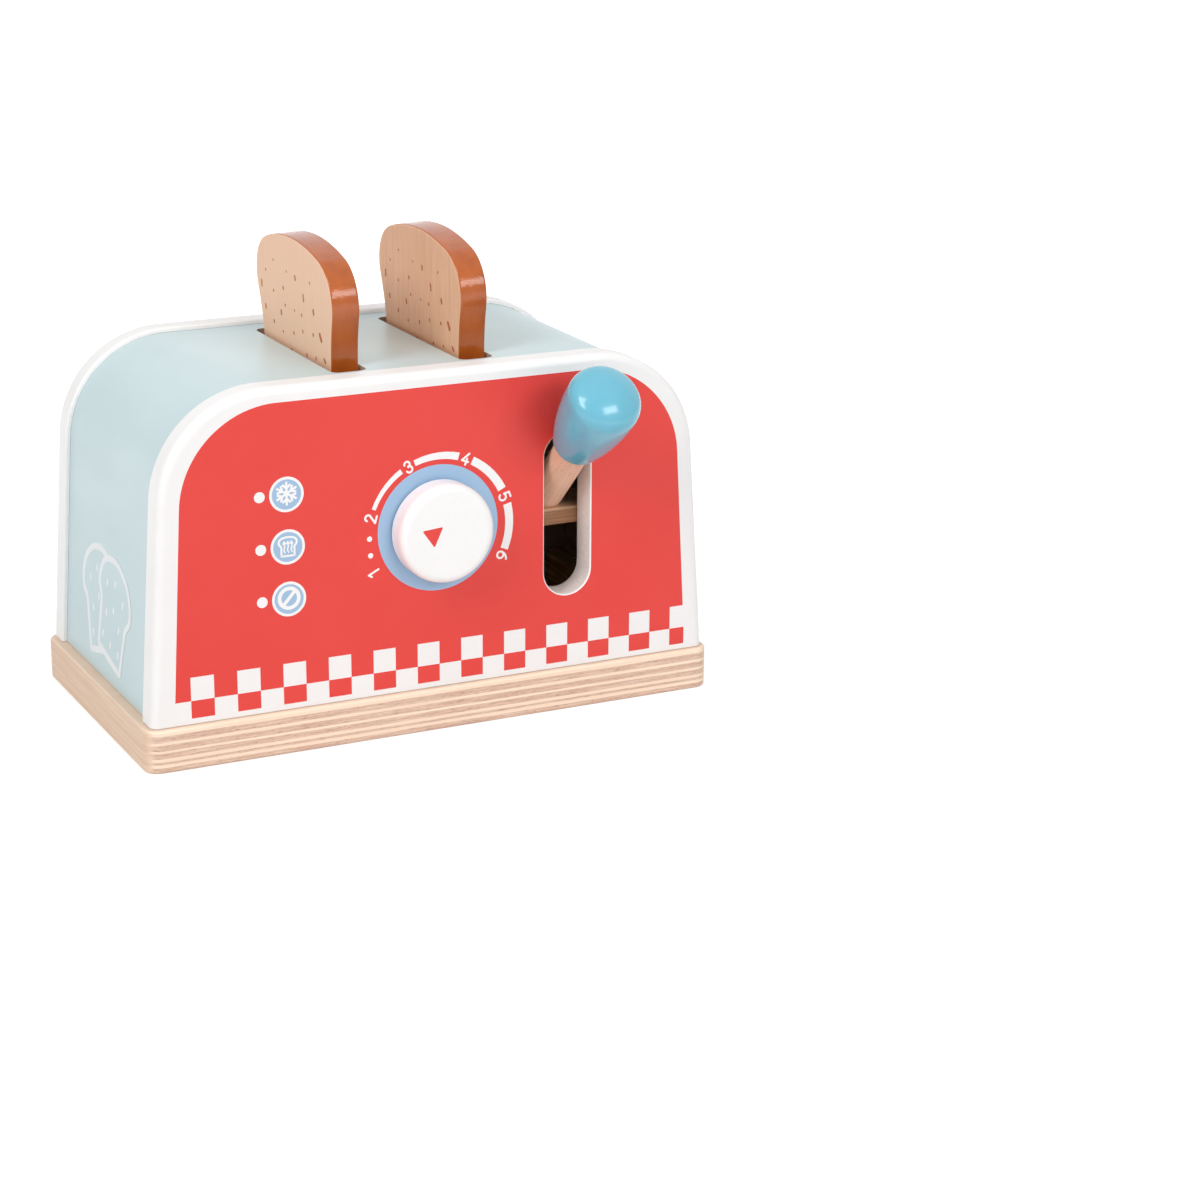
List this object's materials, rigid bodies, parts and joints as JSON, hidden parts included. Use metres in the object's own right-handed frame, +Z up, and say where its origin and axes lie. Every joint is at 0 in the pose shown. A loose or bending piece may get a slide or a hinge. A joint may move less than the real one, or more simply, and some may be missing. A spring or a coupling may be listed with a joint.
{
  "type": "toy toaster",
  "caption": "Wooden toy pop-up toaster: arched front and back boards, bent sheet body, plywood base, turning dial, and a sprung lift with a slanted lever carrying wooden bread slices.",
  "frame": {"origin": "centre of the base board's underside, on the surface the toaster stands on", "axes": "+X to the right along the base's long side, +Y from the dial face to the back, +Z up"},
  "size_m": [0.25, 0.179, 0.1951],
  "materials": {
    "plywood": "clear lacquered birch plywood, plies showing on the edge",
    "white_painted_board": "white paint, satin",
    "pale_blue_sheet": "pale blue paint, satin",
    "bare_pine": "bare, planed",
    "bare_beech": "bare, sanded",
    "thin_plywood": "bare plywood",
    "white_gloss_wood": "white gloss paint",
    "blue_gloss_wood": "blue gloss paint",
    "toast_wood": "bare faces, caramel gloss paint round the edge",
    "zinc_steel": "zinc plated",
    "spring_steel": "drawn wire",
    "nylon": "natural nylon"
  },
  "bodies": {
    "case": {"base_board": "plywood", "front_panel": "white_painted_board", "back_panel": "white_painted_board", "body_wrap": "pale_blue_sheet", "side_batten_left": "bare_pine", "side_batten_right": "bare_pine", "base_screws": "zinc_steel", "guide_rod_front": "bare_beech", "guide_rod_back": "bare_beech", "lift_spring_front": "spring_steel", "lift_spring_back": "spring_steel"},
    "dial": {"dial_knob": "white_gloss_wood", "dial_spindle": "bare_beech", "dial_washer": "nylon", "dial_retainer": "bare_beech"},
    "lift": {"lift_board": "thin_plywood", "lever_dowel": "bare_beech", "lever_grip": "blue_gloss_wood", "toast_rail_left": "bare_pine", "toast_rail_right": "bare_pine", "guide_block_front": "bare_pine", "guide_block_back": "bare_pine"},
    "toast_left": {"toast_slice_left": "toast_wood"},
    "toast_right": {"toast_slice_right": "toast_wood"}
  },
  "joints": [
    {"name": "dial_turn", "type": "hinge", "parent": "case", "child": "dial", "pos_m": [0, -0.0661, 0.0856], "axis": [0, -1, 0], "continuous": true},
    {"name": "lift_slide", "type": "slide", "parent": "case", "child": "lift", "axis": [0, 0, 1], "range_m": [-0.034, 0], "stiffness_N_per_m": 150, "springref_m": 0.035, "deforming": ["lift_spring_front", "lift_spring_back"]},
    {"name": "toast_left_lift_out", "type": "slide", "parent": "lift", "child": "toast_left", "axis": [-0.0401, 0, 0.9992], "range_m": [0, 0.11]},
    {"name": "toast_right_lift_out", "type": "slide", "parent": "lift", "child": "toast_right", "axis": [-0.0401, 0, 0.9992], "range_m": [0, 0.11]}
  ]
}
